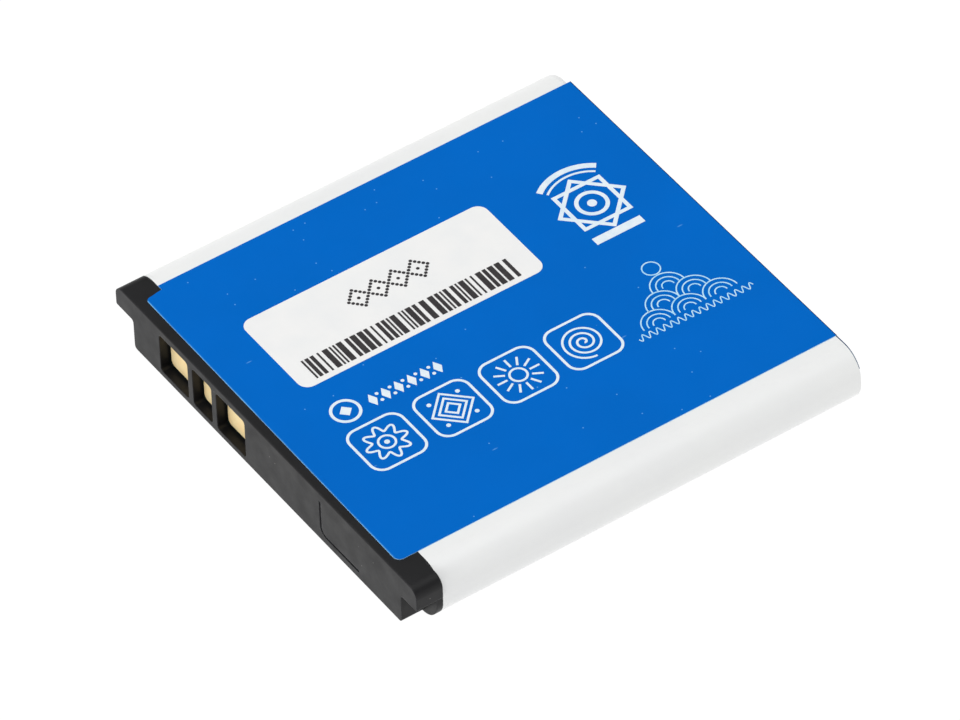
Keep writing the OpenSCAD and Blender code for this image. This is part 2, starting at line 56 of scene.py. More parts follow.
SQUARE = 4  # corners
SMALL_DOT = 12  # corners that a small dot is drawn with
EVEN = (1.0, 1.0, 1.0)
WHITE = (1.0, 1.0, 1.0, 1.0)

# Detail of Blender's noise, and the values that it mostly lies between
SOFT, CRISP = 1.0, 3.0
NOISE_MOST = (0.35, 0.65)
NOISE_WIDE = (0.3, 0.7)

Point = tuple[float, float]
Colour = tuple[float, float, float, float]
Tree = bpy.types.NodeTree
Node = bpy.types.Node
Socket = bpy.types.NodeSocket

log = logging.getLogger("battery")


class Axis(Enum):
    """Direction in which a surface was drawn, rolled or brushed."""

    ACROSS = (0.04, 1.0, 1.0)
    ALONG = (1.0, 0.04, 1.0)
    UP = (1.0, 1.0, 0.04)


class Line(Enum):
    """Width of a printed line, in millimetres."""

    BROAD = 0.55
    BOLD = 0.36
    RIM = 0.27
    PLAIN = 0.2
    FINE = 0.115
    HAIR = 0.1


def linear(hex_colour: str) -> Colour:
    """Turn an sRGB hex colour into linear values.

    Args:
        hex_colour: Colour such as "#0168c3".

    Returns:
        Linear red, green and blue, and an alpha of 1.
    """
    levels = [int(hex_colour[i:i + 2], 16) / 255 for i in (1, 3, 5)]
    red, green, blue = (v / 12.92 if v <= 0.04045 else ((v + 0.055) / 1.055) ** 2.4 for v in levels)
    return red, green, blue, 1.0


def add(tree: Tree, kind: str, inputs: dict[str | int, object] | None = None, **settings: object) -> Node:
    """Add a shader node with its settings and links.

    Args:
        tree: Node tree that the node goes into.
        kind: Blender's name for the kind of node, without its "ShaderNode".
        inputs: Value or output socket for each input that is set, by name or index.
        settings: The node's own properties.

    Returns:
        The new node.
    """
    made = tree.nodes.new("ShaderNode" + kind)
    for name, value in settings.items():
        setattr(made, name, value)
    for name, value in (inputs or {}).items():
        if isinstance(value, Socket):
            tree.links.new(value, made.inputs[name])
        else:
            made.inputs[name].default_value = value
    return made


@dataclass(frozen=True)
class Finish:
    """What each finish has: a tone that drifts, a roughness that varies and a grain."""

    name: str
    colour: str
    drift_to: str
    roughness: float
    metallic: float = 0.0
    specular: float = 0.5
    drift_mm: float = 7.0
    grain_mm: float = 0.3
    grain_depth_mm: float = 0.002
    roughness_spread: float = 0.06
    speck_core: float = 0.4  # share of a speck's radius that is full

    def space(self, tree: Tree, spacing_mm: float, stretch: Sequence[float] = EVEN) -> Socket:
        """Give pattern coordinates on which one unit is a real length.

        Args:
            tree: The material's node tree.
            spacing_mm: Real length of one unit, in millimetres.
            stretch: Share of that fineness along X, Y and Z, for a grain with a direction.

        Returns:
            The output socket with the coordinates.
        """
        place = add(tree, "TexCoord")
        scale = tuple(share / (spacing_mm * MM) for share in stretch)
        return add(tree, "Mapping", {"Vector": place.outputs["Object"], "Scale": scale}).outputs["Vector"]

    def noise(self, tree: Tree, spacing_mm: float, detail: float = 2.0,
              stretch: Sequence[float] = EVEN) -> Socket:
        """Give noise whose waves are a real length apart.

        Args:
            tree: The material's node tree.
            spacing_mm: Distance between two waves, in millimetres.
            detail: Blender's noise detail.
            stretch: Share of that fineness along X, Y and Z.

        Returns:
            The output socket, about 0.5 on average.
        """
        space = self.space(tree, spacing_mm, stretch)
        return add(tree, "TexNoise", {"Vector": space, "Scale": 1.0, "Detail": detail}).outputs["Fac"]

    def span(self, tree: Tree, value: Socket, low: float, high: float,
             to_low: float, to_high: float) -> Socket:
        """Map a value from one span to another, held at its ends.

        Args:
            tree: The material's node tree.
            value: Socket to map.
            low: Value that gives to_low.
            high: Value that gives to_high.
            to_low: Result at low.
            to_high: Result at high.

        Returns:
            The output socket with the result.
        """
        limits = {"Value": value, "From Min": low, "From Max": high, "To Min": to_low, "To Max": to_high}
        return add(tree, "MapRange", limits).outputs["Result"]

    def math(self, tree: Tree, operation: str, *values: Socket | float) -> Socket:
        """Combine values by one of Blender's math operations.

        Args:
            tree: The material's node tree.
            operation: Blender's name for it.
            values: Sockets or numbers.

        Returns:
            The output socket with the result.
        """
        return add(tree, "Math", dict(enumerate(values)), operation=operation).outputs["Value"]

    def blend(self, tree: Tree, share: Socket | float,
              first: Socket | Colour, second: Socket | Colour) -> Socket:
        """Mix two colours.

        Args:
            tree: The material's node tree.
            share: Share of the second colour.
            first: First colour.
            second: Second colour.

        Returns:
            The output socket with the colour.
        """
        return add(tree, "MixRGB", {"Fac": share, "Color1": first, "Color2": second}).outputs["Color"]

    def facing(self, tree: Tree) -> Node:
        """Split the surface's own direction into X, Y and Z."""
        place = add(tree, "TexCoord")
        return add(tree, "SeparateXYZ", {"Vector": place.outputs["Normal"]})

    def specks(self, tree: Tree, spacing_mm: float, size_mm: float, kept: Socket | float,
               stretch: Sequence[float] = EVEN, dimensions: str = "3D") -> Socket:
        """Give sparse specks of dust.

        Args:
            tree: The material's node tree.
            spacing_mm: Distance between the places that a speck may have.
            size_mm: Radius of the largest speck.
            kept: Share of those places that have one.
            stretch: Share of that fineness along X, Y and Z, for scuffs with a direction.
            dimensions: "2D" on a level surface, or else "3D".

        Returns:
            The output socket, 1 on a speck.
        """
        space = self.space(tree, spacing_mm, stretch)
        cells = add(tree, "TexVoronoi", {"Vector": space, "Scale": 1.0}, voronoi_dimensions=dimensions)
        radius = size_mm / spacing_mm
        near = self.span(tree, cells.outputs["Distance"], self.speck_core * radius, radius, 1.0, 0.0)
        lot = add(tree, "SeparateColor", {"Color": cells.outputs["Color"]}).outputs["Red"]
        return self.math(tree, "MULTIPLY", near, self.math(tree, "LESS_THAN", lot, kept))

    def tone(self, tree: Tree) -> Socket:
        """Give the base colour, which drifts slowly towards the second one."""
        drift = self.span(tree, self.noise(tree, self.drift_mm, CRISP), *NOISE_MOST, 0.0, 1.0)
        return self.blend(tree, drift, linear(self.colour), linear(self.drift_to))

    def relief(self, tree: Tree) -> Socket:
        """Give the normal of the surface's fine grain."""
        return self.bump(tree, self.noise(tree, self.grain_mm), self.grain_depth_mm)

    def bump(self, tree: Tree, height: Socket, depth_mm: float, under: Socket | None = None) -> Socket:
        """Turn a height into a normal.

        Args:
            tree: The material's node tree.
            height: Height from 0 to 1.
            depth_mm: Real height of 1, in millimetres.
            under: Normal that this one goes on top of.

        Returns:
            The output socket with the normal.
        """
        inputs = {"Height": height, "Distance": depth_mm * MM, "Strength": 1.0}
        if under is not None:
            inputs["Normal"] = under
        return add(tree, "Bump", inputs).outputs["Normal"]

    def rough(self, tree: Tree) -> Socket:
        """Give the roughness, whose patches are a third as wide as the drift of the tone."""
        low, high = self.roughness - self.roughness_spread, self.roughness + self.roughness_spread
        return self.span(tree, self.noise(tree, self.drift_mm / 3, CRISP), *NOISE_WIDE, low, high)

    def dress(self, tree: Tree, shader: Node) -> None:
        """Link this finish to its shader. A finish with more to it extends this.

        Args:
            tree: The material's node tree.
            shader: Its Principled BSDF.
        """
        tree.links.new(self.tone(tree), shader.inputs["Base Color"])
        tree.links.new(self.rough(tree), shader.inputs["Roughness"])
        tree.links.new(self.relief(tree), shader.inputs["Normal"])

    def material(self) -> bpy.types.Material:
        """Make the material.

        Returns:
            The new material, which has the finish's name.
        """
        made = bpy.data.materials.new(self.name)
        made.use_nodes = True
        shader = made.node_tree.nodes["Principled BSDF"]
        shader.inputs["Metallic"].default_value = self.metallic
        if not self.metallic:
            shader.inputs["Specular IOR Level"].default_value = self.specular
        self.dress(made.node_tree, shader)
        return made


@dataclass(frozen=True)
class MouldedAbs(Finish):
    """ABS from a spark-eroded mould: a dull black skin, with a painted highlight along its edges."""

    edge_mm: float = 0.12
    edge_samples: int = 6
    # Colour painted on every edge as a painted highlight, broken up in patches
    edge_highlight_colour: str = "#4a4b50"
    edge_turn: tuple[float, float] = (0.7, 0.97)
    edge_share: float = 0.8
    patch_mm: float = 1.3
    patch_span: tuple[float, float] = (0.35, 0.6)
    patch_least: float = 0.25
    dust_colour: str = "#716d6b"
    dust_mm: float = 1.0
    dust_size_mm: float = 0.07
    dust_kept: float = 0.4

    def dress(self, tree: Tree, shader: Node) -> None:
        """Round the edges to the eye, paint a highlight along them and add dust.

        Args:
            tree: The material's node tree.
            shader: Its Principled BSDF.
        """
        bevel = add(tree, "Bevel", {"Radius": self.edge_mm * MM}, samples=self.edge_samples)
        rounded = bevel.outputs["Normal"]
        flat = add(tree, "NewGeometry").outputs["True Normal"]
        alike = add(tree, "VectorMath", {0: rounded, 1: flat}, operation="DOT_PRODUCT").outputs["Value"]
        # Painted highlight: edges are lightened where the rounded normal turns away from the flat one, in
        # patches
        edge = self.span(tree, alike, *self.edge_turn, self.edge_share, 0.0)
        patchy = self.span(tree, self.noise(tree, self.patch_mm), *self.patch_span, self.patch_least, 1.0)
        edge_highlight = self.math(tree, "MULTIPLY", edge, patchy)
        with_edge_highlight = self.blend(tree, edge_highlight, self.tone(tree), linear(self.edge_highlight_colour))
        dust = self.specks(tree, self.dust_mm, self.dust_size_mm, self.dust_kept)
        tree.links.new(self.blend(tree, dust, with_edge_highlight, linear(self.dust_colour)), shader.inputs["Base Color"])
        tree.links.new(self.rough(tree), shader.inputs["Roughness"])
        grain = self.noise(tree, self.grain_mm, CRISP)
        tree.links.new(self.bump(tree, grain, self.grain_depth_mm, rounded), shader.inputs["Normal"])


@dataclass(frozen=True)
class ShrunkFilm(Finish):
    """PETG film, shrunk on: satin white with shallow ripples across it."""

    ripple_mm: float = 5.0
    ripple_depth_mm: float = 0.012
    ripple_stretch: tuple[float, float, float] = (0.5, 1.0, 1.0)

    def relief(self, tree: Tree) -> Socket:
        """Give the normal of the ripples and of the film's fine orange peel.

        Args:
            tree: The material's node tree.

        Returns:
            The output socket with the normal.
        """
        ripples = self.noise(tree, self.ripple_mm, SOFT, self.ripple_stretch)
        slow = self.bump(tree, ripples, self.ripple_depth_mm)
        return self.bump(tree, self.noise(tree, self.grain_mm), self.grain_depth_mm, slow)


@dataclass(frozen=True)
class PrintedVinyl(Finish):
    """Vinyl, flood printed and die cut: deep flat blue, pale cut edges brightened as a painted highlight, a
    painted highlight along the front edge, painted shade in the fold.
    """

    # Colour of the cut edges: the film's pale core, brightened as a painted highlight
    edge_highlight_colour: str = "#a8d8fb"
    edge_turn: tuple[float, float] = (0.93, 0.97)
    # Painted shade in the fold and on the flap's edges
    fold_shade_colour: str = "#101c40"
    fold_shade_share: float = 0.85
    # Painted highlight: a pale strip on the top face along the front edge, in patches
    front_highlight_colour: str = "#55abf0"
    front_highlight_patch_mm: float = 5.0
    front_highlight_share: tuple[float, float] = (0.2, 0.9)
    front_highlight_mm: float = 0.1
    upward_turn: tuple[float, float] = (0.7, 0.9)
    outward_turn: tuple[float, float] = (0.5, 0.7)
    # The label's front edge, which lies a little askew, and the fold at its far end
    front_mm: float = -21.128
    front_slope: float = 0.0071
    fold_mm: float = 21.9
    fleck_colour: str = "#68aeea"
    fleck_mm: float = 1.5
    fleck_size_mm: float = 0.075
    fleck_patch_mm: float = 13.0
    fleck_patch_span: tuple[float, float] = (0.42, 0.6)
    fleck_kept: tuple[float, float] = (0.17, 0.015)
    scuff_mm: float = 3.0
    scuff_size_mm: float = 0.06
    scuff_kept: float = 0.3
    scuff_stretch: tuple[float, float, float] = (0.75, 0.18, 1.0)
    scuff_share: float = 0.5
    wave_mm: float = 6.0
    wave_depth_mm: float = 0.01

    def paint_highlight_and_shade(self, tree: Tree, way: Node, ink: Socket) -> Socket:
        """Paint a highlight along the front edge, and paint shade on the fold and on what lies beyond it.

        Args:
            tree: The material's node tree.
            way: The surface's own direction, split.
            ink: Colour before the painted highlight and shade.

        Returns:
            The output socket with the colour.
        """
        place = add(tree, "SeparateXYZ", {"Vector": self.space(tree, 1.0)}).outputs
        lead = self.math(tree, "MULTIPLY_ADD", place["X"], self.front_slope, place["Y"])
        faded = self.front_highlight_mm / 2
        front = self.span(tree, lead, self.front_mm + faded, self.front_mm + self.front_highlight_mm, 1.0, 0.0)
        patchy = self.span(tree, self.noise(tree, self.front_highlight_patch_mm), *NOISE_MOST, *self.front_highlight_share)
        upward = self.span(tree, way.outputs["Z"], *self.upward_turn, 0.0, 1.0)
        # Painted highlight along the front edge, on faces that point up, in patches
        edge_highlight = self.math(tree, "MULTIPLY", front, self.math(tree, "MULTIPLY", patchy, upward))
        # Painted shade: past the fold, faces that don't face +Y are darkened
        beyond = self.span(tree, place["Y"], self.fold_mm, self.fold_mm + faded, 0.0, self.fold_shade_share)
        off_the_flap = self.span(tree, way.outputs["Y"], *self.outward_turn, 1.0, 0.0)
        fold_shade = self.math(tree, "MULTIPLY", beyond, off_the_flap)
        highlighted = self.blend(tree, edge_highlight, ink, linear(self.front_highlight_colour))
        return self.blend(tree, fold_shade, highlighted, linear(self.fold_shade_colour))

    def dress(self, tree: Tree, shader: Node) -> None:
        """Colour the faces and the cut edges, paint the highlight and shade on them, and add flecks and
        scuffs.

        Args:
            tree: The material's node tree.
            shader: Its Principled BSDF.
        """
        way = self.facing(tree)
        face = self.math(tree, "MAXIMUM", way.outputs["Z"], way.outputs["Y"])
        # Cut edges take the pale edge colour: the film's core, brightened as a painted highlight
        cut = self.span(tree, face, *self.edge_turn, 1.0, 0.0)
        ink = self.paint_highlight_and_shade(tree, way, self.blend(tree, cut, self.tone(tree), linear(self.edge_highlight_colour)))
        patches = self.noise(tree, self.fleck_patch_mm, SOFT)
        kept = self.span(tree, patches, *self.fleck_patch_span, *self.fleck_kept)
        flecks = self.specks(tree, self.fleck_mm, self.fleck_size_mm, kept, dimensions="2D")
        scuffs = self.specks(tree, self.scuff_mm, self.scuff_size_mm, self.scuff_kept,
                             self.scuff_stretch, "2D")
        dusty = self.math(tree, "MAXIMUM", flecks, self.math(tree, "MULTIPLY", scuffs, self.scuff_share))
        tree.links.new(self.blend(tree, dusty, ink, linear(self.fleck_colour)), shader.inputs["Base Color"])
        tree.links.new(self.rough(tree), shader.inputs["Roughness"])
        slow = self.bump(tree, self.noise(tree, self.wave_mm, SOFT), self.wave_depth_mm)
        fine = self.bump(tree, self.noise(tree, self.grain_mm), self.grain_depth_mm, slow)
        tree.links.new(fine, shader.inputs["Normal"])


@dataclass(frozen=True)
class DrawnMetal(Finish):
    """Metal that was drawn, rolled or brushed one way: fine lines along that way."""

    way: Axis = Axis.ALONG

    def relief(self, tree: Tree) -> Socket:
        """Give the normal of the lines."""
        return self.bump(tree, self.noise(tree, self.grain_mm, CRISP, self.way.value), self.grain_depth_mm)

    def rough(self, tree: Tree) -> Socket:
        """Give a roughness that follows the lines, two lines to each of its waves.

        Args:
            tree: The material's node tree.

        Returns:
            The output socket with the roughness.
        """
        low, high = self.roughness - self.roughness_spread, self.roughness + self.roughness_spread
        lines = self.noise(tree, self.grain_mm * 2, CRISP, self.way.value)
        return self.span(tree, lines, *NOISE_WIDE, low, high)


@dataclass(frozen=True)
class OpalSheet(Finish):
    """A light table's translucent top, which glows evenly and lets most other light through."""

    glow: float = 1.0

    def dress(self, tree: Tree, shader: Node) -> None:
        """Add the glow.

        Args:
            tree: The material's node tree.
            shader: Its Principled BSDF.
        """
        super().dress(tree, shader)
        shader.inputs["Emission Color"].default_value = WHITE
        shader.inputs["Emission Strength"].default_value = self.glow


# Black ABS, moulded: dull, with grain of 0.16 mm drawn coarser than the real 0.05 mm so that it shows
BLACK_ABS = MouldedAbs("abs_moulded_black", "#121213", "#18181a", roughness=0.46, specular=0.25,
                       grain_mm=0.16, grain_depth_mm=0.0025, drift_mm=5.0)
# White PETG film: satin, a touch cooler in slow patches
WHITE_FILM = ShrunkFilm("petg_film_shrunk_white", "#f3f4f3", "#f0f1f1", roughness=0.34, specular=0.45,
                        grain_mm=0.45, grain_depth_mm=0.0012, drift_mm=9.0)
# Blue vinyl label: even, deep, hardly any shine
BLUE_VINYL = PrintedVinyl("vinyl_flood_printed_blue", "#0069c9", "#0067c5", roughness=0.42, specular=0.03,
                          grain_mm=0.35, grain_depth_mm=0.0008, drift_mm=8.0)
# White ink over blue: opaque, with a faint mottle
WHITE_INK = Finish("screen_ink_white", "#f5f5f4", "#f1f2f2", roughness=0.45, specular=0.3,
                   grain_mm=0.3, grain_depth_mm=0.0008, drift_mm=3.0)
# Pale ink in thin lines: the blue under it shows through a little
PALE_INK = Finish("screen_ink_pale", "#edf5fb", "#deeef9", roughness=0.45, specular=0.3,
                  grain_mm=0.2, grain_depth_mm=0.0008, drift_mm=0.8)
# The same ink in hairlines: it spreads thin, so more of the blue comes through
THIN_INK = Finish("screen_ink_hairline", "#ccedfd", "#a6dffb", roughness=0.45, specular=0.3,
                  grain_mm=0.2, grain_depth_mm=0.0008, drift_mm=0.6)
# Dark thermal print: brownish black with an uneven density
DARK_INK = Finish("thermal_print_dark", "#302e30", "#3a3738", roughness=0.5, specular=0.25,
                  grain_mm=0.2, grain_depth_mm=0.0006, drift_mm=0.5)
# Gold over nickel, electroplated: pale warm yellow with upright wiping lines, drawn wider than real to show
PLATED_GOLD = DrawnMetal("gold_electroplated", "#ffeec1", "#fee8b6", roughness=0.7, metallic=1.0,
                         grain_mm=0.12, grain_depth_mm=0.0006, drift_mm=0.9, way=Axis.UP)
# Nickel strip, cold rolled: warm grey, half bright, with lines along the strip
ROLLED_NICKEL = DrawnMetal("nickel_cold_rolled", "#b9b6b0", "#aca9a4", roughness=0.36, metallic=1.0,
                           grain_mm=0.12, grain_depth_mm=0.0006, drift_mm=1.5, way=Axis.ACROSS)
# Nickel-plated rivet: the brightest metal of the pack, with hardly a line
PLATED_NICKEL = DrawnMetal("nickel_electroplated", "#c6c4bf", "#bab8b3", roughness=0.26, metallic=1.0,
                           grain_mm=0.1, grain_depth_mm=0.0004, drift_mm=1.0, way=Axis.ACROSS)
# Aluminium can, deep drawn: soft grey with draw lines along the can
DRAWN_ALUMINIUM = DrawnMetal("aluminium_deep_drawn", "#c3c5c8", "#b6b9bd", roughness=0.38, metallic=1.0,
                             grain_mm=0.14, grain_depth_mm=0.0009, drift_mm=4.0, way=Axis.ACROSS)
# Glass-epoxy laminate under green solder mask: dark, glossy, with the weave just felt
MASKED_LAMINATE = Finish("laminate_solder_masked", "#14261c", "#0e1d15", roughness=0.3,
                         grain_mm=0.5, grain_depth_mm=0.002, drift_mm=2.0)
# Silica-filled epoxy, transfer moulded: fine matt black
MOULDED_EPOXY = Finish("epoxy_transfer_moulded", "#202022", "#28282a", roughness=0.6,
                       grain_mm=0.08, grain_depth_mm=0.002, drift_mm=1.0)
# Thick-film resistor, glazed: glossy near black
GLAZED_CERAMIC = Finish("ceramic_glazed_dark", "#24242a", "#2e2e35", roughness=0.25,
                        grain_mm=0.1, grain_depth_mm=0.0008, drift_mm=0.6)
# Barium titanate capacitor, fired: dull tan
FIRED_CERAMIC = Finish("ceramic_fired_tan", "#a98a64", "#9b7c57", roughness=0.5,
                       grain_mm=0.1, grain_depth_mm=0.0015, drift_mm=0.6)
# Fish paper, calendered: matt yellowish fibre
CALENDERED_PAPER = Finish("fish_paper_calendered", "#cbb888", "#bfab79", roughness=0.75,
                          grain_mm=0.2, grain_depth_mm=0.006, drift_mm=1.2)
# Conductive polymer, dip coated: orange, half glossy, slightly uneven
DIPPED_POLYMER = Finish("polymer_dip_coated", "#cf7a22", "#c06d1a", roughness=0.4,
                        grain_mm=0.4, grain_depth_mm=0.004, drift_mm=1.4)
# Polypropylene gasket, moulded: waxy off-white
MOULDED_GASKET = Finish("polypropylene_moulded", "#dcd9cd", "#d3cfc2", roughness=0.45,
                        grain_mm=0.3, grain_depth_mm=0.001, drift_mm=1.5)
# Opal acrylic table, lit from below: white, with no shadow to be seen on it
OPAL_ACRYLIC = OpalSheet("acrylic_cast_opal", "#3c3c3c", "#383838", roughness=0.8, specular=0.0,
                         grain_mm=2.0, grain_depth_mm=0.002, drift_mm=60.0)

FINISHES: dict[Finish, tuple[str, ...]] = {
    BLACK_ABS: ("contact_holder",),
    WHITE_FILM: ("film_sleeve",),
    BLUE_VINYL: ("face_label",),
    WHITE_INK: ("print_panel",),
    PALE_INK: ("print_frames",),
    DARK_INK: ("print_stripes",),
    PLATED_GOLD: ("minus_contact", "sense_contact", "plus_contact"),
    ROLLED_NICKEL: ("rivet_tab", "fuse_tab", "plus_tab", "minus_plate", "plus_plate"),
    PLATED_NICKEL: ("terminal_rivet",),
    DRAWN_ALUMINIUM: ("cell_can",),
    MASKED_LAMINATE: ("circuit_board",),
    MOULDED_EPOXY: ("protection_chip", "switch_chip"),
    GLAZED_CERAMIC: ("chip_resistors",),
    FIRED_CERAMIC: ("chip_capacitors",),
    CALENDERED_PAPER: ("lid_insulator",),
    DIPPED_POLYMER: ("thermal_fuse",),
    MOULDED_GASKET: ("terminal_gasket",),
}


def curve(formula: Callable[[float], Point], steps: int, closed: bool = False) -> list[Point]:
    """Sample a curve.

    Args:
        formula: Point of the curve for a share from 0 to 1.
        steps: Number of stretches.
        closed: Whether the curve ends where it starts.

    Returns:
        The points, in millimetres.
    """
    return [formula(i / steps) for i in range(steps if closed else steps + 1)]


def shifted(point: Point, step: Point) -> Point:
    """Move a point by some distance along X and Y."""
    return point[0] + step[0], point[1] + step[1]


def polar(centre: Point, radius: float, angle: float) -> Point:
    """Give the point at some distance from a centre.

    Args:
        centre: The centre, in millimetres.
        radius: Distance from it, in millimetres.
        angle: Direction, in radians from X.

    Returns:
        The point, in millimetres.
    """
    return centre[0] + radius * math.cos(angle), centre[1] + radius * math.sin(angle)


def arc(centre: Point, radius: float, start: float, end: float, steps: int = 24) -> list[Point]:
    """Sample an arc.

    Args:
        centre: Its centre, in millimetres.
        radius: Its radius, in millimetres.
        start: Angle of its start, in turns.
        end: Angle of its end, in turns.
        steps: Number of stretches.

    Returns:
        The points, in millimetres.
    """
    return curve(lambda share: polar(centre, radius, FULL_TURN * (start + (end - start) * share)), steps)


def regular(centre: Point, radius: float, corners: int, turn: float = 0.0) -> list[Point]:
    """Give the corners of a regular figure.

    Args:
        centre: Its centre, in millimetres.
        radius: Distance from the centre to a corner, in millimetres.
        corners: Number of corners.
        turn: Angle of the first corner, in turns.

    Returns:
        The corners, in millimetres.
    """
    return arc(centre, radius, turn, turn + 1, corners)[:-1]


@dataclass
class InkLayer:
    """Flat printed shapes of one ink, built up as one thin mesh on a level surface."""

    name: str
    level_mm: float
    thickness_mm: float = 0.018
    step_mm: float = 0.0002
    levels: int = 9
    places: int = 5  # decimals that corners are rounded to
    ring_corners: int = 40
    sharpest: float = 0.35  # least cosine that a mitred corner is drawn with
    made: bmesh.types.BMesh = field(default_factory=bmesh.new)
    count: int = 0

    def slab(self, outlines: list[list[Point]]) -> None:
        """Raise the flat pieces of one shape into a thin slab.

        Args:
            outlines: Outline of each piece, in millimetres. Neighbours share their corners.
        """
        self.count += 1
        # Shapes that cross end at slightly different heights, so that no two faces lie in one plane
        top = self.level_mm + self.thickness_mm - self.step_mm * (self.count % self.levels)
        found: dict[tuple[Point, bool], bmesh.types.BMVert] = {}
        sides: dict[tuple[Point, Point], None] = {}

        def corner(point: Point, high: bool) -> bmesh.types.BMVert:
            """Give the corner over a point, at the slab's top or at its foot.

            Args:
                point: Its place, in millimetres.
                high: Whether it is at the top.

            Returns:
                The corner, made where it is new.
            """
            if (point, high) not in found:
                z = top if high else self.level_mm
                found[point, high] = self.made.verts.new((point[0] * MM, point[1] * MM, z * MM))
            return found[point, high]

        for outline in outlines:
            ring = [(round(x, self.places), round(y, self.places)) for x, y in outline]
            if sum(a[0] * b[1] - b[0] * a[1] for a, b in zip(ring, ring[1:] + ring[:1])) < 0:
                ring.reverse()
            self.made.faces.new([corner(p, True) for p in ring])
            self.made.faces.new([corner(p, False) for p in reversed(ring)])
            sides.update(dict.fromkeys(zip(ring, ring[1:] + ring[:1])))
        for a, b in sides:
            if (b, a) not in sides:
                self.made.faces.new([corner(b, True), corner(a, True), corner(a, False), corner(b, False)])

    def stroke(self, points: list[Point], line: Line, closed: bool = False) -> None:
        """Print a line of even width, with mitred corners.

        Args:
            points: The line's middle, in millimetres.
            line: Its width.
            closed: Whether its end joins its start.
        """
        half = line.value / 2
        path = [Vector(p) for p in points]
        count = len(path)
        left, right = [], []
        for i, here in enumerate(path):
            ways = []
            if i or closed:
                ways.append((here - path[i - 1]).normalized())
            if i + 1 < count or closed:
                ways.append((path[(i + 1) % count] - here).normalized())
            way = sum(ways, Vector((0, 0))).normalized()
            normal = Vector((-way.y, way.x))
            reach = half / max(self.sharpest, normal.dot(Vector((-ways[0].y, ways[0].x))))
            left.append(tuple(here + normal * reach))
            right.append(tuple(here - normal * reach))
        last = count if closed else count - 1
        self.slab([[right[i], right[(i + 1) % count], left[(i + 1) % count], left[i]] for i in range(last)])

    def fill(self, points: list[Point]) -> None:
        """Print a plain shape.

        Args:
            points: Its outline, in millimetres.
        """
        self.slab([points])

    def disc(self, centre: Point, radius: float, corners: int = 20) -> None:
        """Print a dot.

        Args:
            centre: Its centre, in millimetres.
            radius: Its radius, in millimetres.
            corners: Number of corners that it is drawn with.
        """
        self.fill(regular(centre, radius, corners))

    def ring(self, centre: Point, radius: float, line: Line) -> None:
        """Print a circle.

        Args:
            centre: Its centre, in millimetres.
            radius: Radius of the line's middle, in millimetres.
            line: Width of the line.
        """
        self.stroke(regular(centre, radius, self.ring_corners), line, closed=True)

    def piece(self, finish: bpy.types.Material) -> bpy.types.Object:
        """Turn the layer into a piece that rides with the pack.

        Args:
            finish: Its ink.

        Returns:
            The piece.
        """
        mesh = bpy.data.meshes.new(self.name)
        self.made.to_mesh(mesh)
        self.made.free()
        mesh.materials.append(finish)
        shown = bpy.data.objects.new(self.name, mesh)
        bpy.context.scene.collection.objects.link(shown)
        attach(shown, "root")
        log.info("%s: %d shapes, %d faces", self.name, self.count, len(mesh.polygons))
        return shown


@dataclass
class Pack:
    """The pack's solid pieces, which keep their forms and get their finishes."""

    smooth_below_deg: float = 35.0
    materials: dict[str, bpy.types.Material] = field(default_factory=dict)

    def dress(self, nodes: dict[str, bpy.types.Object]) -> None:
        """Give each piece its material, and even shading on its round faces.

        Args:
            nodes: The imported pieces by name.
        """
        for finish, names in FINISHES.items():
            material = finish.material()
            self.materials[finish.name] = material
            for name in names:
                shown = nodes[name]
                shown.data.materials.clear()
                shown.data.materials.append(material)
                self.shade(shown)
                log.info("%s: %s", name, finish.name)

    def shade(self, shown: bpy.types.Object) -> None:
        """Shade a piece smoothly but for its sharp edges.

        Args:
            shown: The piece.
        """
        mesh = shown.data
        work = bmesh.new()
        work.from_mesh(mesh)
        limit = math.radians(self.smooth_below_deg)
        for edge in work.edges:
            edge.smooth = len(edge.link_faces) == 2 and edge.calc_face_angle(0.0) < limit
        for face in work.faces:
            face.smooth = True
        work.to_mesh(mesh)
        work.free()


